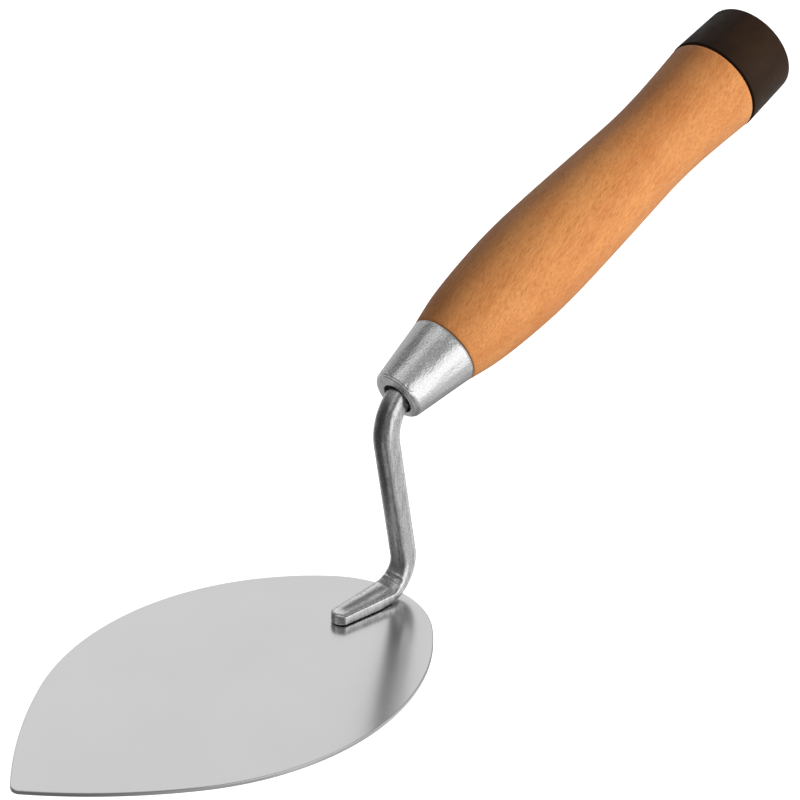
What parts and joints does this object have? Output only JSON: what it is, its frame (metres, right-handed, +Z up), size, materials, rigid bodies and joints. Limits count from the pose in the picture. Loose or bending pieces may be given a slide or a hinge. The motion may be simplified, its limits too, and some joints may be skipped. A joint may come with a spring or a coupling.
{
  "type": "brick trowel",
  "caption": "Leaf-shaped brick trowel: flat rounded steel blade, cranked square neck, cone ferrule, turned wooden handle and a dark end cap.",
  "frame": {"origin": "on the blade's underside, halfway along the blade on its centre line", "axes": "+X runs from the blade's point to its heel and on towards the handle's end, +Z up from the blade's underside to its working top side, +Y to the left seen from the handle's end; the tool is mirror symmetric about y = 0"},
  "size_m": [0.2973, 0.0906, 0.1463],
  "materials": {
    "stainless": "satin",
    "forged_steel": "satin",
    "plated_steel": "gloss",
    "beech": "satin",
    "brown_plastic": "satin"
  },
  "bodies": {
    "root": {"blade": "stainless", "neck": "forged_steel", "ferrule": "plated_steel", "handle": "beech", "end_cap": "brown_plastic"}
  },
  "joints": []
}
